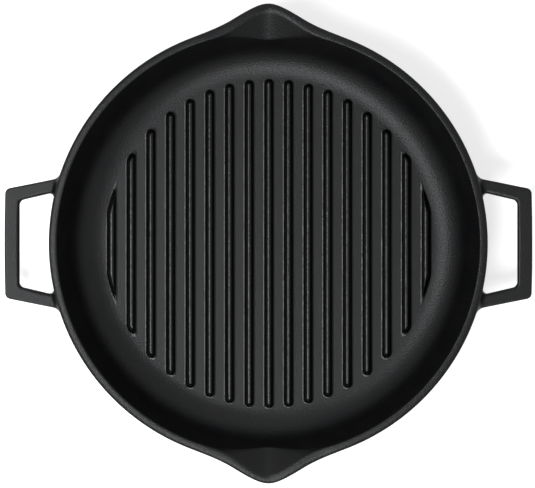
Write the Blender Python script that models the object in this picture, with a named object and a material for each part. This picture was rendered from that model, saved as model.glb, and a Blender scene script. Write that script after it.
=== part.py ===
"""Round cast-iron grill pan with two pouring lips and two loop handles, in metres, +Z up.

The pan stands on the plane z = 0 and its axis is the Z axis. The handles lie along X, and the lips and the
grill ribs lie along Y. The real pan is one casting: its floor and wall, each rib and each handle are
separate solids here, a small clearance apart.
"""
import math

import bmesh
import bpy
from mathutils import Vector

# Bowl
RIM_RADIUS = 0.1500
RIM_WIDTH = 0.0057
RIM_INNER_DROP = 0.0009
RIM_OUTER_ROUND_WIDTH = 0.0036
RIM_OUTER_ROUND_HEIGHT = 0.0016
BOWL_HEIGHT = 0.0425
FLOOR_THICKNESS = 0.0050
SIDE_SPREAD = 0.0320
COVE_RADIUS = 0.0256

# Pouring lips
LIP_REACH = 0.0140
LIP_RIM_WIDTH = 0.0070
LIP_OUTER_FLANK = math.radians(34.0)
LIP_INNER_FLANK = math.radians(38.0)
LIP_OUTER_TIP_RADIUS = 0.0155
LIP_INNER_TIP_RADIUS = 0.0140
LIP_CHANNEL_RADIUS = 0.0075
LIP_CHANNEL_SLOPE = math.radians(30.5)
LIP_METAL_HEIGHT = 0.0065
LIP_BLEND = 0.0055
LIP_BREAK_SHARE = 0.12
LIP_HALF_SECTOR = math.radians(24.0)

# Grill ribs
RIB_PITCH = 0.01346
RIB_HEIGHT = 0.0056
RIB_CROWN_HALF_WIDTH = 0.00165
RIB_CROWN_HEIGHT = 0.0016
RIB_DRAFT = math.radians(14.5)
RIB_END_MARGIN = 0.0002
RIB_LEAN_POWER = 4

# Loop handles
HANDLE_REACH = 0.0300
HANDLE_BAR_WIDTH = 0.0100
HANDLE_BAR_BOW = 0.0004
HANDLE_HALF_SPAN = 0.0373
HANDLE_ARM_WIDTH = 0.0098
HANDLE_OUTER_SPREAD = math.radians(11.3)
HANDLE_INNER_SPREAD = math.radians(13.2)
HANDLE_OUTER_CORNER = 0.0042
HANDLE_INNER_CORNER = 0.0040
HANDLE_OUTER_ROOT = 0.0070
HANDLE_INNER_ROOT = 0.0027
HANDLE_THICKNESS = 0.0090
HANDLE_DROP = 0.0085
HANDLE_INNER_ROUND = 0.0025
HANDLE_OUTER_ROUND = 0.0012
COLLAR_WIDTH = 0.0027
COLLAR_RISE = 0.0045

# Gap kept between one solid and the next
CLEARANCE = 0.0003

# Fineness of the round shapes
PLAIN_STEPS = 16
LIP_STEPS = 14
LIP_CROWDING = 1.3
COVE_STEPS = 6
CHANNEL_STEPS = 8
ROUND_STEPS = 3
RIB_END_STEPS = 6
RIB_CROWN_STEPS = 4
HANDLE_ARC_STEPS = 4
HANDLE_ROUND_STEPS = 3

SHARP_ANGLE = math.radians(35.0)

# The largest cove that still leaves a straight stretch of wall, as a share of one that leaves none
COVE_LIMIT = 0.95

# The widest rounding of the rim's inner edge, as a share of the rim that its outer rounding leaves flat
INNER_ROUND_LIMIT = 0.95

# How closely the height of the rim along the lips is worked out
DIP_PRECISION = 0.000001

# Finish
IRON_COLOUR = (0.012, 0.012, 0.013, 1.0)
IRON_ROUGHNESS = 0.5

# Places that follow from the sizes
RIM_INNER_RADIUS = RIM_RADIUS - RIM_WIDTH
FLOOR_RADIUS = RIM_INNER_RADIUS - SIDE_SPREAD
INNER_EDGE_HEIGHT = BOWL_HEIGHT - RIM_INNER_DROP
OUTER_EDGE_HEIGHT = BOWL_HEIGHT - RIM_OUTER_ROUND_HEIGHT
LIP_TIP = RIM_RADIUS + LIP_REACH
LIP_INNER_TIP = LIP_TIP - LIP_RIM_WIDTH
CHANNEL_TOP = LIP_INNER_TIP + (LIP_INNER_TIP_RADIUS - LIP_CHANNEL_RADIUS) * math.tan(LIP_INNER_FLANK) ** 2
HANDLE_TOP = BOWL_HEIGHT - HANDLE_DROP
HANDLE_BOTTOM = HANDLE_TOP - HANDLE_THICKNESS
RIB_CIRCLE = FLOOR_RADIUS - RIB_END_MARGIN


def clear_scene():
    """Remove every object that the file opened with."""
    for thing in list(bpy.data.objects):
        bpy.data.objects.remove(thing, do_unlink=True)


def iron(name):
    """Black seasoned cast iron with a satin finish."""
    material = bpy.data.materials.new(name)
    material.use_nodes = True
    shader = material.node_tree.nodes["Principled BSDF"]
    shader.inputs["Base Color"].default_value = IRON_COLOUR
    shader.inputs["Roughness"].default_value = IRON_ROUGHNESS
    shader.inputs["Metallic"].default_value = 0.0
    return material


def add_object(name, mesh, parent=None):
    """Put a mesh, or an empty where there is none, in the scene under its own name."""
    thing = bpy.data.objects.new(name, mesh)
    thing.parent = parent
    bpy.context.scene.collection.objects.link(thing)
    return thing


def skin(name, rings):
    """A closed iron solid through rings of equal length, with a flat cap on the first and on the last."""
    shape = bmesh.new()
    loops = [[shape.verts.new(point) for point in ring] for ring in rings]
    for lower, upper in zip(loops, loops[1:]):
        for here in range(len(lower)):
            ahead = (here + 1) % len(lower)
            shape.faces.new((lower[here], lower[ahead], upper[ahead], upper[here]))
    shape.faces.new(reversed(loops[0]))
    shape.faces.new(loops[-1])
    bmesh.ops.recalc_face_normals(shape, faces=shape.faces)
    mesh = bpy.data.meshes.new(name)
    shape.to_mesh(mesh)
    shape.free()
    mesh.materials.append(iron(name + "_iron"))
    mesh.shade_smooth()
    mesh.set_sharp_from_angle(angle=SHARP_ANGLE)
    return mesh


# Bowl

class Side:
    """One face of the bowl's side: a cove that leaves the floor level, then a straight wall up to the rim."""

    def __init__(self, floor_height, cove, edge_radius, edge_height):
        across = edge_radius - FLOOR_RADIUS
        rise = edge_height - floor_height
        widest_cove = (across**2 + rise**2) / (2 * rise)
        self.cove = min(cove, COVE_LIMIT * widest_cove)
        self.floor_height = floor_height
        self.edge_radius = edge_radius
        self.edge_height = edge_height
        above_centre = rise - self.cove
        to_edge = math.hypot(across, above_centre)
        self.lean = math.acos(self.cove / to_edge) - math.atan2(above_centre, across)
        self.cove_turn = math.pi / 2 - self.lean
        self.wall_foot = floor_height + self.cove * (1 - math.cos(self.cove_turn))

    def radius(self, height):
        """Radius of this face at a height."""
        if height >= self.wall_foot:
            return self.edge_radius - (self.edge_height - height) * math.tan(self.lean)
        drop = self.cove - (height - self.floor_height)
        return FLOOR_RADIUS + math.sqrt(max(self.cove**2 - drop**2, 0.0))

    def cove_heights(self):
        """Heights of the rings up the cove, from the floor to the foot of the straight wall."""
        turns = [self.cove_turn * step / COVE_STEPS for step in range(COVE_STEPS + 1)]
        return [self.floor_height + self.cove * (1 - math.cos(turn)) for turn in turns]


INNER_SIDE = Side(FLOOR_THICKNESS, COVE_RADIUS, RIM_INNER_RADIUS, INNER_EDGE_HEIGHT)
OUTER_SIDE = Side(0.0, COVE_RADIUS + FLOOR_THICKNESS, RIM_RADIUS, OUTER_EDGE_HEIGHT)


def sweep_angles():
    """Angles of a ring's points from +X round the pan, closer together towards the lips' tips."""
    plain = math.pi / 2 - LIP_HALF_SECTOR
    quarter = [plain * step / PLAIN_STEPS for step in range(PLAIN_STEPS)]
    for step in range(LIP_STEPS, 0, -1):
        quarter.append(math.pi / 2 - LIP_HALF_SECTOR * (step / LIP_STEPS) ** LIP_CROWDING)
    half = quarter + [math.pi / 2] + [math.pi - angle for angle in reversed(quarter[1:])]
    return half + [math.pi + angle for angle in half]


def lip_radius(angle, tip, flank, tip_radius):
    """Distance from the pan's axis to a lip's outline, a hyperbola with straight flanks and a round tip."""
    slope = math.tan(flank)
    run = tip_radius * slope
    along = abs(math.sin(angle))
    across = abs(math.cos(angle))
    apex = tip + slope * run
    spread = along**2 - (slope * across) ** 2
    inside = (along * apex) ** 2 - spread * (apex**2 - (slope * run) ** 2)
    return (along * apex - math.sqrt(inside)) / spread


def blended(wall, lip, blend):
    """The larger of two radii, eased over where they are nearly equal."""
    overlap = max(blend - abs(wall - lip), 0.0)
    return max(wall, lip) + overlap**2 / (4 * blend)


def face_radius(angle, wall_radius, tip, flank, tip_radius):
    """Radius at an angle of a face that is the wall's circle, run out into the two lips.

    Where a lip leaves the wall the join is crisp, and it widens as the lip runs out.
    """
    if abs(math.cos(angle)) >= math.sin(LIP_HALF_SECTOR):
        return wall_radius
    run_out = (tip - wall_radius) / LIP_REACH
    blend = LIP_BLEND * min(max(run_out, LIP_BREAK_SHARE), 1.0)
    return blended(wall_radius, lip_radius(angle, tip, flank, tip_radius), blend)


def channel_tip(height):
    """Distance from the axis to the bottom of the pouring channel at a height."""
    return CHANNEL_TOP - (INNER_EDGE_HEIGHT - height) / math.tan(LIP_CHANNEL_SLOPE)


def inner_radius(angle, height):
    """Radius of the bowl's inside."""
    return face_radius(angle, INNER_SIDE.radius(height), channel_tip(height), LIP_INNER_FLANK,
                       LIP_CHANNEL_RADIUS)


def outer_radius(angle, height):
    """Radius of the bowl's outside, whose lips run under the channels at an even thickness."""
    tip = min(LIP_TIP, channel_tip(height + LIP_METAL_HEIGHT))
    return face_radius(angle, OUTER_SIDE.radius(height), tip, LIP_OUTER_FLANK, LIP_OUTER_TIP_RADIUS)


def inner_rim(angle):
    """Radius of the rim's inner edge."""
    return face_radius(angle, RIM_INNER_RADIUS, LIP_INNER_TIP, LIP_INNER_FLANK, LIP_INNER_TIP_RADIUS)


def outer_rim(angle):
    """Radius of the rim's outer edge."""
    return face_radius(angle, RIM_RADIUS, LIP_TIP, LIP_OUTER_FLANK, LIP_OUTER_TIP_RADIUS)


def rim_dip(angle):
    """How far the rim sinks at an angle, so that its inner edge lies on the pouring channels."""
    low = INNER_SIDE.wall_foot
    high = INNER_EDGE_HEIGHT
    while high - low > DIP_PRECISION:
        middle = (low + high) / 2
        if inner_radius(angle, middle) < inner_rim(angle):
            low = middle
        else:
            high = middle
    return INNER_EDGE_HEIGHT - high


ANGLES = sweep_angles()
DIPS = [rim_dip(angle) for angle in ANGLES]


def ring_point(angle, radius, height):
    """Point at an angle round the pan's axis."""
    return Vector((radius * math.cos(angle), radius * math.sin(angle), height))


def spaced(low, high, steps):
    """Evenly spaced values after low, up to high."""
    return [low + (high - low) * step / steps for step in range(1, steps + 1)]


def lip_foot(side, edge_gap):
    """Height at which a lip's sloping face leaves the straight wall."""
    slope_run = 1 / math.tan(LIP_CHANNEL_SLOPE) - math.tan(side.lean)
    return max(side.edge_height - edge_gap / slope_run, side.wall_foot + CLEARANCE)


def outer_heights():
    """Heights of the rings up the outside, from the base to the underside of the lips' tips."""
    nose = INNER_EDGE_HEIGHT - LIP_METAL_HEIGHT + (LIP_TIP - CHANNEL_TOP) * math.tan(LIP_CHANNEL_SLOPE)
    nose = min(nose, OUTER_EDGE_HEIGHT - max(DIPS) - CLEARANCE)
    foot = lip_foot(OUTER_SIDE, channel_tip(OUTER_EDGE_HEIGHT + LIP_METAL_HEIGHT) - RIM_RADIUS)
    return OUTER_SIDE.cove_heights() + [foot] + spaced(foot, nose, CHANNEL_STEPS)


def outer_rings():
    """Rings up the outside of the bowl, to the rim's outer edge."""
    rings = [[ring_point(angle, outer_radius(angle, height), height) for angle in ANGLES]
             for height in outer_heights()]
    edge = [ring_point(angle, outer_rim(angle), OUTER_EDGE_HEIGHT - dip) for angle, dip in zip(ANGLES, DIPS)]
    return rings + [edge]


def rounding_rings():
    """Rings over the rounded top of the rim, from its outer edge to its inner one."""
    rings = []
    for step in range(1, ROUND_STEPS + 1):
        turn = math.pi / 2 * step / ROUND_STEPS
        inset = RIM_OUTER_ROUND_WIDTH * (1 - math.cos(turn))
        height = OUTER_EDGE_HEIGHT + RIM_OUTER_ROUND_HEIGHT * math.sin(turn)
        rings.append([ring_point(angle, outer_rim(angle) - inset, height - dip)
                      for angle, dip in zip(ANGLES, DIPS)])
    for step in range(ROUND_STEPS):
        ring = []
        for angle, dip in zip(ANGLES, DIPS):
            edge_height = INNER_EDGE_HEIGHT - dip
            fall = inner_rim(angle) - inner_radius(angle, edge_height - CLEARANCE)
            slope = math.atan2(CLEARANCE, fall)
            widest = INNER_ROUND_LIMIT * (outer_rim(angle) - inner_rim(angle) - RIM_OUTER_ROUND_WIDTH)
            round_radius = min(RIM_INNER_DROP / (1 - math.cos(slope)), widest / math.sin(slope))
            turn = slope * step / ROUND_STEPS
            outset = round_radius * (math.sin(slope) - math.sin(turn))
            rise = round_radius * (math.cos(turn) - math.cos(slope))
            ring.append(ring_point(angle, inner_rim(angle) + outset, edge_height + rise))
        rings.append(ring)
    return rings


def inner_rings():
    """Rings down the inside of the bowl, from the rim's inner edge to the floor."""
    foot = lip_foot(INNER_SIDE, CHANNEL_TOP - RIM_INNER_RADIUS)
    rings = [[ring_point(angle, inner_radius(angle, height), height) for angle in ANGLES]
             for height in INNER_SIDE.cove_heights()]
    for share in [0.0] + spaced(0.0, 1.0, CHANNEL_STEPS):
        ring = []
        for angle, dip in zip(ANGLES, DIPS):
            height = foot + (INNER_EDGE_HEIGHT - dip - foot) * share
            ring.append(ring_point(angle, inner_radius(angle, height), height))
        rings.append(ring)
    return list(reversed(rings))


def make_bowl(pan):
    """Floor, coved wall, rim and pouring lips."""
    add_object("pan_bowl", skin("pan_bowl", outer_rings() + rounding_rings() + inner_rings()), pan)


# Grill ribs

def rib_levels():
    """Half width and height of a rib's rings above the floor, from its foot to its crown."""
    start = math.atan(RIB_CROWN_HEIGHT / RIB_CROWN_HALF_WIDTH * math.tan(RIB_DRAFT))
    crown = []
    for step in range(RIB_CROWN_STEPS):
        turn = start + (math.pi / 2 - start) * step / RIB_CROWN_STEPS
        height = RIB_HEIGHT - RIB_CROWN_HEIGHT * (1 - math.sin(turn))
        crown.append((RIB_CROWN_HALF_WIDTH * math.cos(turn), height))
    widest, flank_top = crown[0]
    return [(widest + (flank_top - CLEARANCE) * math.tan(RIB_DRAFT), CLEARANCE)] + crown


def rib_ring(place, half_width, height):
    """Outline of a rib at one level: straight sides and round ends, which lean more towards the edge."""
    inset = rib_levels()[0][0] - half_width
    reach = math.sqrt((RIB_CIRCLE - inset) ** 2 - place**2)
    slant = (place / RIB_CIRCLE) ** RIB_LEAN_POWER * place / math.sqrt(RIB_CIRCLE**2 - place**2)
    points = []
    for end in (1, -1):
        for step in range(RIB_END_STEPS + 1):
            turn = math.pi * step / RIB_END_STEPS
            across = end * half_width * math.cos(turn)
            along = end * (reach - half_width + half_width * math.sin(turn) - slant * across)
            points.append(Vector((across, along, height)))
    return points


def make_ribs(pan):
    """As many ribs as the floor holds, side by side at the pitch."""
    foot_half_width = rib_levels()[0][0]
    each_side = int((RIB_CIRCLE - foot_half_width) / RIB_PITCH)
    for number in range(2 * each_side + 1):
        place = (number - each_side) * RIB_PITCH
        name = f"grill_rib_{number + 1:02d}"
        rings = [rib_ring(place, half_width, height) for half_width, height in rib_levels()]
        rib = add_object(name, skin(name, rings), pan)
        rib.location = (place, 0.0, FLOOR_THICKNESS)


# Loop handles

def arc_between(centre, first, last, steps):
    """Points on the shorter arc round a centre, from first to last."""
    start = first - centre
    sweep = start.angle_signed(last - centre)
    points = []
    for step in range(steps + 1):
        turn = -sweep * step / steps
        spoke = Vector((start.x * math.cos(turn) - start.y * math.sin(turn),
                        start.x * math.sin(turn) + start.y * math.cos(turn)))
        points.append(centre + spoke)
    return points


def root_arc(start, heading, free_side, radius):
    """Fillet that joins a straight edge of an arm to the rim's circle, from the rim to the edge."""
    shifted = start + radius * free_side
    toward = heading.dot(shifted)
    beyond = shifted.length_squared - (RIM_RADIUS + radius) ** 2
    run = -toward - math.sqrt(toward**2 - beyond)
    centre = shifted + run * heading
    on_rim = centre * (RIM_RADIUS / (RIM_RADIUS + radius))
    on_edge = start + run * heading
    return arc_between(centre, on_rim, on_edge, HANDLE_ARC_STEPS)


def bar_corner(corner, heading, radius):
    """Arc that rounds the corner between an arm's edge, which leaves it along heading, and the bar's."""
    down = Vector((0.0, -1.0))
    half_angle = heading.angle(down) / 2
    setback = radius / math.tan(half_angle)
    middle = (heading + down).normalized() * (radius / math.sin(half_angle))
    return arc_between(corner + middle, corner + setback * heading, corner + setback * down, HANDLE_ARC_STEPS)


def handle_edge(bar_x, half_span, spread, free_sign, root_radius, corner_radius, bow):
    """One edge of the loop's upper half, from over the floor's edge round to the middle of the bar."""
    heading = Vector((-math.cos(spread), math.sin(spread)))
    free_side = free_sign * Vector((math.sin(spread), math.cos(spread)))
    corner = Vector((bar_x, half_span))
    root = root_arc(corner, heading, free_side, root_radius)
    buried = root[0] * FLOOR_RADIUS / RIM_RADIUS
    middle = Vector((bar_x + bow, 0.0))
    return [buried] + root + bar_corner(corner, heading, corner_radius) + [middle]


def handle_edges():
    """Matching points along the loop's outer and inner edges, from one root to the other."""
    outer_x = RIM_RADIUS + HANDLE_REACH
    inner_x = outer_x - HANDLE_BAR_WIDTH
    arm_run = HANDLE_BAR_WIDTH * math.tan(HANDLE_OUTER_SPREAD)
    inner_span = HANDLE_HALF_SPAN + arm_run - HANDLE_ARM_WIDTH / math.cos(HANDLE_OUTER_SPREAD)
    outer = handle_edge(outer_x, HANDLE_HALF_SPAN, HANDLE_OUTER_SPREAD, 1, HANDLE_OUTER_ROOT,
                        HANDLE_OUTER_CORNER, HANDLE_BAR_BOW)
    inner = handle_edge(inner_x, inner_span, HANDLE_INNER_SPREAD, -1, HANDLE_INNER_ROOT,
                        HANDLE_INNER_CORNER, 0.0)
    lower_outer = [Vector((point.x, -point.y)) for point in reversed(outer[:-1])]
    lower_inner = [Vector((point.x, -point.y)) for point in reversed(inner[:-1])]
    return outer + lower_outer, inner + lower_inner


def top_height(point):
    """Height of the handle's top face, which ramps up in a narrow collar beside the rim."""
    into_collar = (RIM_RADIUS + COLLAR_WIDTH - point.length) / COLLAR_WIDTH
    return HANDLE_TOP + COLLAR_RISE * min(max(into_collar, 0.0), 1.0)


def handle_section(outer, inner):
    """Ring round the bar between two matching edge points, with well rounded inner corners."""
    across = outer - inner
    width = across.length
    inner_corner = (HANDLE_INNER_ROUND, HANDLE_INNER_ROUND)
    outer_corner = (width - HANDLE_OUTER_ROUND, HANDLE_OUTER_ROUND)
    corners = (inner_corner, outer_corner, outer_corner, inner_corner)
    ring = []
    for quarter, (centre, radius) in enumerate(corners):
        for step in range(HANDLE_ROUND_STEPS + 1):
            turn = math.pi + math.pi / 2 * (quarter + step / HANDLE_ROUND_STEPS)
            plan = inner + across * ((centre + radius * math.cos(turn)) / width)
            on_top = quarter >= 2
            level = top_height(plan) - radius if on_top else HANDLE_BOTTOM + radius
            ring.append(Vector((plan.x, plan.y, level + radius * math.sin(turn))))
    return ring


def wall_cutter(pan):
    """The space that the bowl's outside takes up, grown by the clearance, to fit the roots to the wall."""
    above = BOWL_HEIGHT + HANDLE_THICKNESS
    profile = [(OUTER_SIDE.radius(height), height) for height in outer_heights() + [OUTER_EDGE_HEIGHT]]
    profile.append((RIM_RADIUS, above))
    rings = []
    for radius, height in profile:
        grown = radius + CLEARANCE / math.cos(OUTER_SIDE.lean)
        rings.append([Vector((grown * math.cos(angle), grown * math.sin(angle), height))
                      for angle in ANGLES])
    cutter = add_object("wall_cutter", skin("wall_cutter", rings), pan)
    cutter.hide_render = True
    cutter.display_type = "WIRE"
    return cutter


def make_handles(pan):
    """The two loops, turned half round from each other and cut to the wall."""
    outer, inner = handle_edges()
    rings = [handle_section(outer_point, inner_point) for outer_point, inner_point in zip(outer, inner)]
    cutter = wall_cutter(pan)
    for name, turn in (("handle_right", 0.0), ("handle_left", math.pi)):
        handle = add_object(name, skin(name, rings), pan)
        handle.rotation_euler = (0.0, 0.0, turn)
        trim = handle.modifiers.new("fit_to_wall", "BOOLEAN")
        trim.operation = "DIFFERENCE"
        trim.solver = "EXACT"
        trim.object = cutter


def main():
    clear_scene()
    pan = add_object("grill_pan", None)
    make_bowl(pan)
    make_ribs(pan)
    make_handles(pan)


main()
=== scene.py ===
"""Looks of a round cast-iron grill pan with two pouring lips and two loop handles, seen from above."""
import math

import bpy
import numpy as np
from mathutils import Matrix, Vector


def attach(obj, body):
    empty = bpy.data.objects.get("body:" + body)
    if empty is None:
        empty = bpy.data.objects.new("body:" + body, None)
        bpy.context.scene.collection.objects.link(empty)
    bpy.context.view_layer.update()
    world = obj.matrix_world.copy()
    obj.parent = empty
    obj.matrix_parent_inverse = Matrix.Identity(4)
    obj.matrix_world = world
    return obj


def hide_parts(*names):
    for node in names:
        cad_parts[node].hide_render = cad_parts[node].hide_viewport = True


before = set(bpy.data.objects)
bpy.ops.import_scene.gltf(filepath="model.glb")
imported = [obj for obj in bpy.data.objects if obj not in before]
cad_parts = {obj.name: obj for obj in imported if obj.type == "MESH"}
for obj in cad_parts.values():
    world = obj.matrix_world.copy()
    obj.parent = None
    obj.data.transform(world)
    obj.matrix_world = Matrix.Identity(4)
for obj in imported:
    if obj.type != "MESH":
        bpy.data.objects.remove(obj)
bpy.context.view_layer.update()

# Photograph, in pixels
PHOTO_WIDTH = 535
PHOTO_HEIGHT = 488
PAN_CENTRE_X = 268.2
PAN_CENTRE_Y = 243.5
RIM_RADIUS_PIXELS = 219.65

# Bowl, in metres
RIM_RADIUS = 0.1500
RIM_WIDTH = 0.0057
RIM_INNER_DROP = 0.0009
RIM_OUTER_ROUND_WIDTH = 0.0036
RIM_OUTER_ROUND_HEIGHT = 0.0016
BOWL_HEIGHT = 0.0425
FLOOR_THICKNESS = 0.0050
SIDE_SPREAD = 0.0320
COVE_RADIUS = 0.0256

# Pouring lips
LIP_REACH = 0.0140
LIP_RIM_WIDTH = 0.0070
LIP_OUTER_FLANK = math.radians(34.0)
LIP_INNER_FLANK = math.radians(38.0)
LIP_OUTER_TIP_RADIUS = 0.0155
LIP_INNER_TIP_RADIUS = 0.0140
LIP_CHANNEL_RADIUS = 0.0075
LIP_CHANNEL_SLOPE = math.radians(30.5)
LIP_METAL_HEIGHT = 0.0065
LIP_BLEND = 0.0055
LIP_BREAK_SHARE = 0.12
LIP_HALF_SECTOR = math.radians(24.0)

# Grill ribs
RIB_PITCH = 0.01346
RIB_HEIGHT = 0.0056
RIB_CROWN_HALF_WIDTH = 0.00165
RIB_CROWN_HEIGHT = 0.0016
RIB_DRAFT = math.radians(14.5)
RIB_END_MARGIN = 0.0002
RIB_LEAN_POWER = 4
RIB_FOOT_ROUND = 0.0017

# Loop handles
HANDLE_REACH = 0.0300
HANDLE_BAR_WIDTH = 0.0100
HANDLE_BAR_BOW = 0.0004
HANDLE_HALF_SPAN = 0.0373
HANDLE_ARM_WIDTH = 0.0098
HANDLE_OUTER_SPREAD = math.radians(11.3)
HANDLE_INNER_SPREAD = math.radians(13.2)
HANDLE_OUTER_CORNER = 0.0042
HANDLE_INNER_CORNER = 0.0040
HANDLE_OUTER_ROOT = 0.0070
HANDLE_INNER_ROOT = 0.0027
HANDLE_THICKNESS = 0.0090
HANDLE_DROP = 0.0085
HANDLE_INNER_ROUND = 0.0025
HANDLE_OUTER_ROUND = 0.0012
COLLAR_WIDTH = 0.0030
COLLAR_RISE = 0.0040
COLLAR_HOLLOW = 1.7
ROOT_DEPTH = 0.0020
ROOT_FILLET = 0.0020

# Pieces that lie on another are sunk into it this far, so that no light passes under them
SINK = 0.00001

# The widest rounding of the rim's inner edge, as a share of the rim that its outer rounding leaves flat
INNER_ROUND_LIMIT = 0.95

# How the height and the slope of the rim's inner edge are worked out
DIP_HALVINGS = 30
SLOPE_STEP = 0.0002

# Fineness of the round shapes
PLAIN_STEPS = 80
LIP_STEPS = 56
LIP_CROWDING = 1.25
COVE_STEPS = 22
WALL_STEPS = 46
ROUND_STEPS = 9
FLAT_SHARES = (0.92, 0.8, 0.6, 0.4, 0.2, 0.05)
RIB_END_STEPS = 24
RIB_ROUND_STEPS = 6
ROOT_STEPS = 26
ARM_STEPS = 16
CORNER_STEPS = 12
BAR_STEPS = 12
SECTION_ROUND_STEPS = 7
TOP_STEPS = 18
BURIED_STEPS = 16

# Places that follow from the sizes
RIM_INNER_RADIUS = RIM_RADIUS - RIM_WIDTH
FLOOR_RADIUS = RIM_INNER_RADIUS - SIDE_SPREAD
INNER_EDGE_HEIGHT = BOWL_HEIGHT - RIM_INNER_DROP
OUTER_EDGE_HEIGHT = BOWL_HEIGHT - RIM_OUTER_ROUND_HEIGHT
LIP_TIP = RIM_RADIUS + LIP_REACH
LIP_INNER_TIP = LIP_TIP - LIP_RIM_WIDTH
CHANNEL_TOP = LIP_INNER_TIP + (LIP_INNER_TIP_RADIUS - LIP_CHANNEL_RADIUS) * math.tan(LIP_INNER_FLANK) ** 2
HANDLE_TOP = BOWL_HEIGHT - HANDLE_DROP
HANDLE_BOTTOM = HANDLE_TOP - HANDLE_THICKNESS
RIB_CIRCLE = FLOOR_RADIUS - RIB_END_MARGIN
RIB_CROWN_START = math.atan(RIB_CROWN_HEIGHT / RIB_CROWN_HALF_WIDTH * math.tan(RIB_DRAFT))
RIB_FLANK_TOP = RIB_HEIGHT - RIB_CROWN_HEIGHT * (1 - math.sin(RIB_CROWN_START))
RIB_FOOT = RIB_CROWN_HALF_WIDTH * math.cos(RIB_CROWN_START) + RIB_FLANK_TOP * math.tan(RIB_DRAFT)

# Edges sharper than this are shaded as edges
SHARP_EDGE = math.radians(40.0)

# Rounding directions whose sine is above this belong to the handle's top, which has no flare at the wall
TOP_SINE = 0.01

# Finish of the iron: its tones are shares of each iron's shade, and its scales are noise cells per metre.
# Each piece's shade is its base colour level, and the ribs' and handles' levels are set below the bowl's as
# painted shade.
IRON_TINT = (0.965, 0.985, 1.0, 1.0)
DARK_TONE = (0.9, 1.0, 1.2)
PALE_TONE = (1.7, 1.7, 1.8)
PATCH_SCALE = 60.0
GRAIN_SCALE = 1000.0
SWELL_SCALE = 260.0
SWELL_HEIGHT = 0.00002
ROUGHNESS_SPREAD = 0.01
NOISE_LOW = 0.3
NOISE_HIGH = 0.7

# Camera and stage
CAMERA_HEIGHT = 15.0
CAMERA_LEAN = math.radians(0.8)
SENSOR_WIDTH = 36.0
WORLD_LEVEL = 0.2
FLOOR_COLOUR = (0.72, 0.72, 0.72, 1.0)
FLOOR_ROUGHNESS = 0.9
FLOOR_SIZE = 8.0
FLOOR_GLOW = 0.70


# Bowl

class Side:
    """One face of the bowl's side: a cove that leaves the floor level, then a straight wall up to the rim."""

    def __init__(self, floor_height, cove, edge_radius, edge_height):
        across = edge_radius - FLOOR_RADIUS
        above_centre = edge_height - floor_height - cove
        self.floor_height = floor_height
        self.cove = cove
        self.edge_radius = edge_radius
        self.edge_height = edge_height
        self.lean = math.acos(cove / math.hypot(across, above_centre)) - math.atan2(above_centre, across)
        self.cove_turn = math.pi / 2 - self.lean
        self.wall_foot = floor_height + cove * (1 - math.cos(self.cove_turn))

    def radii(self, heights):
        """Radii of this face at heights."""
        wall = self.edge_radius - (self.edge_height - heights) * math.tan(self.lean)
        drop = self.cove - (heights - self.floor_height)
        cove = FLOOR_RADIUS + np.sqrt(np.maximum(self.cove**2 - drop**2, 0.0))
        return np.where(heights >= self.wall_foot, wall, cove)

    def heights(self):
        """Heights of the rings up this face, from the floor to the rim's edge."""
        turns = np.linspace(0.0, self.cove_turn, COVE_STEPS + 1)
        cove = self.floor_height + self.cove * (1 - np.cos(turns))
        wall = np.linspace(self.wall_foot, self.edge_height, WALL_STEPS + 1)[1:]
        return list(cove) + list(wall)


INNER_SIDE = Side(FLOOR_THICKNESS, COVE_RADIUS, RIM_INNER_RADIUS, INNER_EDGE_HEIGHT)
OUTER_SIDE = Side(0.0, COVE_RADIUS + FLOOR_THICKNESS, RIM_RADIUS, OUTER_EDGE_HEIGHT)


def sweep_angles():
    """Angles of a ring's points from +X round the pan, closer together towards the lips' tips."""
    plain = np.linspace(0.0, math.pi / 2 - LIP_HALF_SECTOR, PLAIN_STEPS, endpoint=False)
    shares = np.arange(LIP_STEPS, 0, -1) / LIP_STEPS
    quarter = np.concatenate([plain, math.pi / 2 - LIP_HALF_SECTOR * shares**LIP_CROWDING])
    half = np.concatenate([quarter, [math.pi / 2], math.pi - quarter[:0:-1]])
    return np.concatenate([half, math.pi + half])


ANGLES = sweep_angles()


def lip_radius(tip, flank, tip_radius):
    """Distances from the pan's axis to a lip's outline, a hyperbola with straight flanks and a round tip."""
    slope = math.tan(flank)
    run = tip_radius * slope
    along = abs(np.sin(ANGLES))
    across = abs(np.cos(ANGLES))
    apex = tip + slope * run
    spread = along**2 - (slope * across) ** 2
    spread = np.where(across < math.sin(LIP_HALF_SECTOR), spread, 1.0)
    inside = (along * apex) ** 2 - spread * (apex**2 - (slope * run) ** 2)
    return (along * apex - np.sqrt(np.maximum(inside, 0.0))) / spread


def face_radii(wall_radius, tip, flank, tip_radius):
    """Radii at the ring's angles of a face that is the wall's circle, run out into the two lips.

    Where a lip leaves the wall the join is crisp, and it widens as the lip runs out.
    """
    blend = LIP_BLEND * np.clip((tip - wall_radius) / LIP_REACH, LIP_BREAK_SHARE, 1.0)
    lip = np.where(abs(np.cos(ANGLES)) < math.sin(LIP_HALF_SECTOR), lip_radius(tip, flank, tip_radius), 0.0)
    overlap = np.maximum(blend - abs(wall_radius - lip), 0.0)
    return np.maximum(wall_radius, lip) + overlap**2 / (4 * blend)


def raised(plan, height):
    """Points of a plan at a height."""
    return np.stack([plan.real, plan.imag, np.full(len(plan), height)], axis=1)


def channel_tip(height):
    """Distance from the axis to the bottom of the pouring channel at a height."""
    return CHANNEL_TOP - (INNER_EDGE_HEIGHT - height) / math.tan(LIP_CHANNEL_SLOPE)


def inner_radii(heights):
    """Radii of the bowl's inside at the ring's angles, each at its own height."""
    return face_radii(INNER_SIDE.radii(heights), channel_tip(heights), LIP_INNER_FLANK, LIP_CHANNEL_RADIUS)


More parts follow.
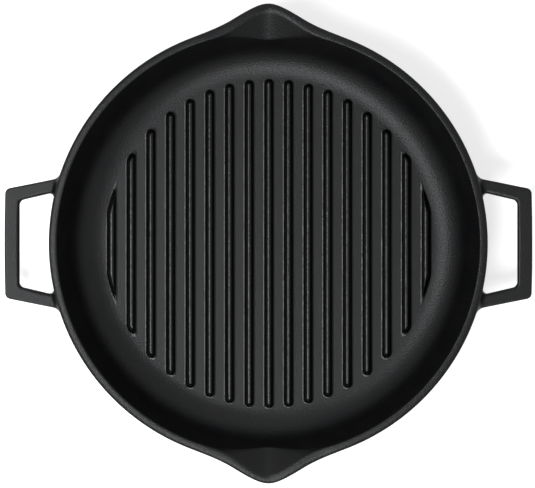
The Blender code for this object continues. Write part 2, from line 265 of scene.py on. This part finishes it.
def outer_radii(heights):
    """Radii of the bowl's outside, whose lips run under the channels at an even thickness."""
    tips = np.minimum(LIP_TIP, channel_tip(heights + LIP_METAL_HEIGHT))
    return face_radii(OUTER_SIDE.radii(heights), tips, LIP_OUTER_FLANK, LIP_OUTER_TIP_RADIUS)


INNER_RIM = face_radii(RIM_INNER_RADIUS, LIP_INNER_TIP, LIP_INNER_FLANK, LIP_INNER_TIP_RADIUS)
OUTER_RIM = face_radii(RIM_RADIUS, LIP_TIP, LIP_OUTER_FLANK, LIP_OUTER_TIP_RADIUS)


def rim_dips():
    """How far the rim sinks at each angle, so that its inner edge lies on the pouring channels."""
    low = np.full(len(ANGLES), INNER_SIDE.wall_foot)
    high = np.full(len(ANGLES), INNER_EDGE_HEIGHT)
    for _ in range(DIP_HALVINGS):
        middle = (low + high) / 2
        short = inner_radii(middle) < INNER_RIM
        low = np.where(short, middle, low)
        high = np.where(short, high, middle)
    return INNER_EDGE_HEIGHT - high


DIPS = rim_dips()


def ring(radii, heights):
    """Points of a ring round the pan's axis."""
    return np.stack([radii * np.cos(ANGLES), radii * np.sin(ANGLES), heights + 0 * ANGLES], axis=1)


def outer_rings():
    """Rings up the outside of the bowl, to the rim's outer edge, which all sink towards the lips' dips."""
    rings = []
    for height in OUTER_SIDE.heights():
        rise = (height - OUTER_SIDE.wall_foot) / (OUTER_EDGE_HEIGHT - OUTER_SIDE.wall_foot)
        heights = height - DIPS * max(rise, 0.0)
        rings.append(ring(outer_radii(heights), heights))
    return rings[:-1] + [ring(OUTER_RIM, OUTER_EDGE_HEIGHT - DIPS)]


def rounding_rings():
    """Rings over the rounded top of the rim, from its outer edge to its inner one."""
    rings = []
    for turn in np.linspace(0.0, math.pi / 2, ROUND_STEPS + 1)[1:]:
        inset = RIM_OUTER_ROUND_WIDTH * (1 - math.cos(turn))
        height = OUTER_EDGE_HEIGHT + RIM_OUTER_ROUND_HEIGHT * math.sin(turn)
        rings.append(ring(OUTER_RIM - inset, height - DIPS))
    edge = INNER_EDGE_HEIGHT - DIPS
    slope = np.arctan2(SLOPE_STEP, INNER_RIM - inner_radii(edge - SLOPE_STEP))
    widest = INNER_ROUND_LIMIT * (OUTER_RIM - INNER_RIM - RIM_OUTER_ROUND_WIDTH)
    radius = np.minimum(RIM_INNER_DROP / (1 - np.cos(slope)), widest / np.sin(slope))
    for share in np.linspace(0.0, 1.0, ROUND_STEPS, endpoint=False):
        outset = radius * (np.sin(slope) - np.sin(slope * share))
        rings.append(ring(INNER_RIM + outset, edge + radius * (np.cos(slope * share) - np.cos(slope))))
    return rings


def inner_rings():
    """Rings down the inside of the bowl, from the rim's inner edge to the floor."""
    rings = []
    for height in reversed(INNER_SIDE.heights()):
        rise = (height - INNER_SIDE.wall_foot) / (INNER_EDGE_HEIGHT - INNER_SIDE.wall_foot)
        heights = height - DIPS * max(rise, 0.0)
        rings.append(ring(inner_radii(heights), heights))
    return rings


def flat_rings(height):
    """Rings across a flat round face, from its edge inwards."""
    return [raised(FLOOR_RADIUS * share * np.exp(1j * ANGLES), height) for share in FLAT_SHARES]


def loft(name, rings):
    """A closed, smooth solid through rings of equal length, with a flat cap on the first and on the last."""
    count = len(rings[0])
    points = np.concatenate(rings)
    here = np.arange(count)
    ahead = (here + 1) % count
    faces = []
    for level in range(len(rings) - 1):
        low, high = level * count, (level + 1) * count
        faces += np.stack([low + here, low + ahead, high + ahead, high + here], axis=1).tolist()
    faces.append(here[::-1].tolist())
    faces.append((here + (len(rings) - 1) * count).tolist())
    mesh = bpy.data.meshes.new(name)
    mesh.from_pydata(points.tolist(), [], faces)
    mesh.validate()
    mesh.shade_smooth()
    mesh.set_sharp_from_angle(angle=SHARP_EDGE)
    return mesh


def add_piece(name, mesh, material, *nodes):
    """Put a piece of the pan in the scene, in place of the nodes that it stands for."""
    piece = bpy.data.objects.new(name, mesh)
    mesh.materials.append(material)
    bpy.context.scene.collection.objects.link(piece)
    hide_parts(*nodes)
    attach(piece, "root")


def make_bowl(iron):
    """Floor, coved wall, rim and pouring lips."""
    side = outer_rings() + rounding_rings() + inner_rings()
    rings = flat_rings(0.0)[::-1] + side + flat_rings(FLOOR_THICKNESS)
    add_piece("cast_bowl", loft("cast_bowl", rings), iron, "pan_bowl")


# Grill ribs

def rib_levels():
    """Half width and height of a rib's rings above the floor, from its flared foot to its crown."""
    foot_centre = RIB_FOOT + RIB_FOOT_ROUND * (1 - math.sin(RIB_DRAFT)) / math.cos(RIB_DRAFT)
    levels = [(foot_centre, -RIB_FOOT_ROUND / 2)]
    for turn in np.linspace(0.0, math.pi / 2 - RIB_DRAFT, RIB_ROUND_STEPS + 1):
        half_width = foot_centre - RIB_FOOT_ROUND * math.sin(turn)
        levels.append((half_width, RIB_FOOT_ROUND * (1 - math.cos(turn)) - SINK))
    for turn in np.linspace(RIB_CROWN_START, math.pi / 2, RIB_ROUND_STEPS + 2)[:-1]:
        height = RIB_HEIGHT - RIB_CROWN_HEIGHT * (1 - math.sin(turn))
        levels.append((RIB_CROWN_HALF_WIDTH * math.cos(turn), height))
    return levels


def rib_ring(place, half_width, height):
    """Outline of a rib at one level: straight sides and round ends, which lean more towards the edge."""
    inset = RIB_FOOT - half_width
    reach = math.sqrt((RIB_CIRCLE - inset) ** 2 - place**2)
    slant = (place / RIB_CIRCLE) ** RIB_LEAN_POWER * place / math.sqrt(RIB_CIRCLE**2 - place**2)
    turns = np.linspace(0.0, math.pi, RIB_END_STEPS + 1)
    across = half_width * np.cos(turns)
    along = reach - half_width + half_width * np.sin(turns)
    end = across + 1j * (along - slant * across)
    other_end = -across - 1j * (along + slant * across)
    plan = place + np.concatenate([end, other_end])
    return raised(plan, FLOOR_THICKNESS + height)


# The ribs' iron has a darker base colour than the bowl's, which paints shade on the ribs' dark flanks, and a
# lower roughness, for ribs polished by use.
def make_ribs(polished_shade_painted_iron):
    """One rib on each rib node, side by side at the pitch."""
    nodes = sorted(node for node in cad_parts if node.startswith("grill_rib_"))
    middle = (len(nodes) - 1) / 2
    for number, node in enumerate(nodes):
        place = (number - middle) * RIB_PITCH
        rings = [rib_ring(place, half_width, height) for half_width, height in rib_levels()]
        add_piece(node.replace("grill_", "cast_"), loft(node, rings), polished_shade_painted_iron, node)


# Loop handles, with their plans as complex numbers

def dot(first, second):
    """Dot product of two plan vectors."""
    return (first * second.conjugate()).real


def arc_between(centre, first, last, steps):
    """Points on the shorter arc round a centre, from first to last."""
    sweep = np.angle((last - centre) / (first - centre))
    return centre + (first - centre) * np.exp(1j * sweep * np.linspace(0.0, 1.0, steps + 1))


def root_arc(start, heading, free_side, radius):
    """Fillet that joins a straight edge of an arm to the rim's circle, from the rim to the edge."""
    shifted = start + radius * free_side
    toward = dot(heading, shifted)
    beyond = abs(shifted) ** 2 - (RIM_RADIUS + radius) ** 2
    run = -toward - math.sqrt(toward**2 - beyond)
    centre = shifted + run * heading
    on_rim = centre * RIM_RADIUS / (RIM_RADIUS + radius)
    return arc_between(centre, on_rim, start + run * heading, ROOT_STEPS)


def bar_corner(corner, heading, radius):
    """Arc that rounds the corner between an arm's edge, which leaves it along heading, and the bar's."""
    down = -1j
    half_angle = abs(np.angle(heading / down)) / 2
    setback = radius / math.tan(half_angle)
    middle = (heading + down) / abs(heading + down) * radius / math.sin(half_angle)
    return arc_between(corner + middle, corner + setback * heading, corner + setback * down, CORNER_STEPS)


def between(first, last, steps):
    """Points strictly between two places, evenly spaced."""
    return first + (last - first) * np.arange(1, steps) / steps


def handle_edge(bar_x, half_span, spread, free_sign, root_radius, corner_radius, bow):
    """One edge of the loop, from one root on the rim round to the other."""
    heading = complex(-math.cos(spread), math.sin(spread))
    free_side = free_sign * complex(math.sin(spread), math.cos(spread))
    corner = complex(bar_x, half_span)
    root = root_arc(corner, heading, free_side, root_radius)
    turn = bar_corner(corner, heading, corner_radius)
    arm = between(root[-1], turn[0], ARM_STEPS)
    bar = between(turn[-1], turn[-1].real + 0j, BAR_STEPS)
    bar = bar + bow * (1 - (bar.imag / turn[-1].imag) ** 2)
    half = np.concatenate([root, arm, turn, bar])
    return np.concatenate([half, [bar_x + bow], half.conj()[::-1]])


def handle_edges():
    """Matching points along the loop's outer and inner edges."""
    outer_x = RIM_RADIUS + HANDLE_REACH
    inner_x = outer_x - HANDLE_BAR_WIDTH
    arm_run = HANDLE_BAR_WIDTH * math.tan(HANDLE_OUTER_SPREAD)
    inner_span = HANDLE_HALF_SPAN + arm_run - HANDLE_ARM_WIDTH / math.cos(HANDLE_OUTER_SPREAD)
    outer = handle_edge(outer_x, HANDLE_HALF_SPAN, HANDLE_OUTER_SPREAD, 1, HANDLE_OUTER_ROOT,
                        HANDLE_OUTER_CORNER, HANDLE_BAR_BOW)
    inner = handle_edge(inner_x, inner_span, HANDLE_INNER_SPREAD, -1, HANDLE_INNER_ROOT,
                        HANDLE_INNER_CORNER, 0.0)
    return outer, inner


def collar(plan):
    """How far the collar beside the rim lifts the handle's top face at a plan point."""
    into = (RIM_RADIUS + COLLAR_WIDTH - abs(plan)) / COLLAR_WIDTH
    return COLLAR_RISE * np.clip(into, 0.0, 1.0) ** COLLAR_HOLLOW


def section_plan(width):
    """Distances from the inner edge, and rounding directions, of the points round the bar's section."""
    quarter = np.linspace(0.0, math.pi / 2, SECTION_ROUND_STEPS + 1)
    across = []
    turns = []
    radii = []
    for number in range(4):
        at_outer = number in (1, 2)
        radius = HANDLE_OUTER_ROUND if at_outer else HANDLE_INNER_ROUND
        centre = width - radius if at_outer else radius
        turn = math.pi + number * math.pi / 2 + quarter
        across += list(centre + radius * np.cos(turn))
        turns += list(turn)
        radii += [radius] * len(turn)
        if number == 2:
            across += list(between(width - HANDLE_OUTER_ROUND, HANDLE_INNER_ROUND, TOP_STEPS))
            turns += [math.pi / 2] * (TOP_STEPS - 1)
            radii += [HANDLE_OUTER_ROUND] * (TOP_STEPS - 1)
    return np.array(across), np.array(turns), np.array(radii)


def handle_section(outer, inner):
    """Ring round the bar between two matching edge points, as a plan, heights and rounding directions."""
    width = abs(outer - inner)
    across, turns, radii = section_plan(width)
    plan = inner + (outer - inner) / width * across
    on_top = np.sin(turns) > 0
    level = np.where(on_top, HANDLE_TOP + collar(plan) - radii, HANDLE_BOTTOM + radii)
    return plan, level + radii * np.sin(turns), turns, (outer - inner) / width


def buried_rings(outer, inner):
    """Rings from inside the wall out to the rim, flared where underside and flanks meet the wall."""
    plan, height, turns, direction = handle_section(outer, inner)
    wall = OUTER_SIDE.radii(height)
    rings = []
    for share in np.linspace(1.0, 0.0, BURIED_STEPS, endpoint=False):
        radius = abs(plan) + (wall - ROOT_DEPTH - abs(plan)) * share
        gap = np.clip(radius - wall, 0.0, ROOT_FILLET)
        flare = ROOT_FILLET - np.sqrt(ROOT_FILLET**2 - (ROOT_FILLET - gap) ** 2)
        flare = np.where(np.sin(turns) > TOP_SINE, 0.0, flare)
        moved = plan / abs(plan) * radius + direction * flare * np.cos(turns)
        level = height + flare * np.minimum(np.sin(turns), 0.0)
        rings.append(np.stack([moved.real, moved.imag, level], axis=1))
    return rings


def make_handle(iron, name, turn, node):
    """One loop, turned to its side of the pan."""
    outer, inner = handle_edges()
    rings = buried_rings(outer[0], inner[0])
    for outer_point, inner_point in zip(outer, inner):
        plan, height, turns, direction = handle_section(outer_point, inner_point)
        rings.append(np.stack([plan.real, plan.imag, height], axis=1))
    rings += buried_rings(outer[-1], inner[-1])[::-1]
    turned = [points * (turn, turn, 1.0) for points in rings]
    add_piece(name, loft(name, turned), iron, node)


# Finish

def make_iron(name, roughness, specular, grain, shade):
    """Seasoned cast iron: near black, satin, with the fine skin of a sand casting. Its base colour follows
    shade, which is set lower on the ribs and handles than on the bowl as painted shade.
    """
    material = bpy.data.materials.new(name)
    material.use_nodes = True
    nodes = material.node_tree.nodes
    links = material.node_tree.links
    shader = nodes["Principled BSDF"]
    shader.inputs["Metallic"].default_value = 0.0
    shader.inputs["Specular IOR Level"].default_value = specular
    shader.inputs["Specular Tint"].default_value = IRON_TINT
    place = nodes.new("ShaderNodeTexCoord")

    def noise(scale, detail, rough):
        texture = nodes.new("ShaderNodeTexNoise")
        texture.inputs["Scale"].default_value = scale
        texture.inputs["Detail"].default_value = detail
        texture.inputs["Roughness"].default_value = rough
        links.new(place.outputs["Object"], texture.inputs["Vector"])
        return texture.outputs["Fac"]

    def spread(value, low, high):
        mapped = nodes.new("ShaderNodeMapRange")
        mapped.inputs["From Min"].default_value = NOISE_LOW
        mapped.inputs["From Max"].default_value = NOISE_HIGH
        mapped.inputs["To Min"].default_value = low
        mapped.inputs["To Max"].default_value = high
        links.new(value, mapped.inputs["Value"])
        return mapped.outputs["Result"]

    def bump(value, distance, under=None):
        relief = nodes.new("ShaderNodeBump")
        relief.inputs["Distance"].default_value = distance
        relief.inputs["Strength"].default_value = 1.0
        links.new(value, relief.inputs["Height"])
        if under:
            links.new(under, relief.inputs["Normal"])
        return relief.outputs["Normal"]

    def tone(shares):
        return tuple(share * shade for share in shares) + (1.0,)

    patches = noise(PATCH_SCALE, detail=3.0, rough=0.6)
    grains = noise(GRAIN_SCALE, detail=2.0, rough=0.5)
    swells = noise(SWELL_SCALE, detail=2.0, rough=0.5)
    colour = nodes.new("ShaderNodeMix")
    colour.data_type = "RGBA"
    colour.inputs["A"].default_value = tone(DARK_TONE)
    colour.inputs["B"].default_value = tone(PALE_TONE)
    links.new(spread(patches, 0.0, 1.0), colour.inputs["Factor"])
    links.new(colour.outputs["Result"], shader.inputs["Base Color"])
    gloss = spread(patches, roughness - ROUGHNESS_SPREAD, roughness + ROUGHNESS_SPREAD)
    links.new(gloss, shader.inputs["Roughness"])
    skin = bump(grains, grain, bump(swells, SWELL_HEIGHT))
    links.new(skin, shader.inputs["Normal"])
    return material


# Stage

def is_background_ray(nodes, links):
    """1 for a ray from the camera, a gloss or a glass, and 0 for one that lights a surface."""
    path = nodes.new("ShaderNodeLightPath")
    total = path.outputs["Is Camera Ray"]
    for name in ("Is Glossy Ray", "Is Transmission Ray"):
        larger = nodes.new("ShaderNodeMath")
        larger.operation = "MAXIMUM"
        links.new(total, larger.inputs[0])
        links.new(path.outputs[name], larger.inputs[1])
        total = larger.outputs["Value"]
    return total


def make_world():
    """White where it is seen, and a plain soft light on the pan."""
    world = bpy.data.worlds.new("studio")
    bpy.context.scene.world = world
    world.use_nodes = True
    nodes = world.node_tree.nodes
    links = world.node_tree.links
    background = nodes["Background"]
    background.inputs["Color"].default_value = (1.0, 1.0, 1.0, 1.0)
    level = nodes.new("ShaderNodeMapRange")
    level.inputs["To Min"].default_value = WORLD_LEVEL
    level.inputs["To Max"].default_value = 1.0
    links.new(is_background_ray(nodes, links), level.inputs["Value"])
    links.new(level.outputs["Result"], background.inputs["Strength"])


def make_floor():
    """A pale floor that keeps the pan's soft shadow."""
    mesh = bpy.data.meshes.new("floor")
    half = FLOOR_SIZE / 2
    corners = [(-half, -half, 0.0), (half, -half, 0.0), (half, half, 0.0), (-half, half, 0.0)]
    mesh.from_pydata(corners, [], [(0, 1, 2, 3)])
    floor = bpy.data.objects.new("floor", mesh)
    floor.location.z = -SINK
    bpy.context.scene.collection.objects.link(floor)
    material = bpy.data.materials.new("pale_floor")
    material.use_nodes = True
    nodes = material.node_tree.nodes
    links = material.node_tree.links
    shader = nodes["Principled BSDF"]
    shader.inputs["Base Color"].default_value = FLOOR_COLOUR
    shader.inputs["Roughness"].default_value = FLOOR_ROUGHNESS
    shader.inputs["Specular IOR Level"].default_value = 0.0
    shader.inputs["Emission Color"].default_value = (1.0, 1.0, 1.0, 1.0)
    glow = nodes.new("ShaderNodeMath")
    glow.operation = "MULTIPLY"
    glow.inputs[1].default_value = FLOOR_GLOW
    links.new(is_background_ray(nodes, links), glow.inputs[0])
    links.new(glow.outputs["Value"], shader.inputs["Emission Strength"])
    mesh.materials.append(material)


def add_softbox(name, place, size, power):
    """A square soft light that points at the pan."""
    lamp = bpy.data.lights.new(name, "AREA")
    lamp.shape = "SQUARE"
    lamp.size = size
    lamp.energy = power
    light = bpy.data.objects.new(name, lamp)
    light.location = place
    aim = Vector((0.0, 0.0, BOWL_HEIGHT)) - Vector(place)
    light.rotation_euler = aim.to_track_quat("-Z", "Y").to_euler()
    light.visible_camera = False
    bpy.context.scene.collection.objects.link(light)


def make_lights():
    """A soft light at the left, a stronger one in front, and a weak one behind that lifts the far wall."""
    add_softbox("left_softbox", place=(-0.387, -0.024, 0.786), size=0.343, power=5.0)
    add_softbox("front_softbox", place=(-0.090, -0.513, 0.927), size=0.392, power=7.7)
    add_softbox("back_softbox", place=(0.0, 0.72, 0.75), size=0.45, power=0.65)


def make_camera():
    """A long lens straight above, framed as in the photograph, with +X to the right and +Y up."""
    metres_per_pixel = RIM_RADIUS / RIM_RADIUS_PIXELS
    camera = bpy.data.cameras.new("camera")
    camera.sensor_width = SENSOR_WIDTH
    camera.lens = SENSOR_WIDTH * (CAMERA_HEIGHT - BOWL_HEIGHT) / (PHOTO_WIDTH * metres_per_pixel)
    camera.clip_end = 2 * CAMERA_HEIGHT
    viewer = bpy.data.objects.new("camera", camera)
    x = (PHOTO_WIDTH / 2 - PAN_CENTRE_X) * metres_per_pixel
    y = (PAN_CENTRE_Y - PHOTO_HEIGHT / 2) * metres_per_pixel
    viewer.location = (x + (CAMERA_HEIGHT - BOWL_HEIGHT) * math.tan(CAMERA_LEAN), y, CAMERA_HEIGHT)
    viewer.rotation_euler.y = CAMERA_LEAN
    bpy.context.scene.collection.objects.link(viewer)
    bpy.context.scene.camera = viewer


def main():
    """The pan's pieces, then the stage."""
    # The three irons are copies of one casting's finish: the lower shade on the ribs and handles darkens
    # their base colour as painted shade.
    make_bowl(make_iron("bowl_iron", roughness=0.33, specular=0.183, grain=0.00026, shade=0.0017))
    make_ribs(make_iron("rib_iron", roughness=0.17, specular=0.26, grain=0.00020, shade=0.0006))
    handle_iron = make_iron("handle_iron", roughness=0.345, specular=0.187, grain=0.00020, shade=0.0010)
    make_handle(handle_iron, "cast_handle_right", 1.0, "handle_right")
    make_handle(handle_iron, "cast_handle_left", -1.0, "handle_left")
    make_world()
    make_floor()
    make_lights()
    make_camera()
    bpy.context.scene.view_settings.view_transform = "Standard"


main()
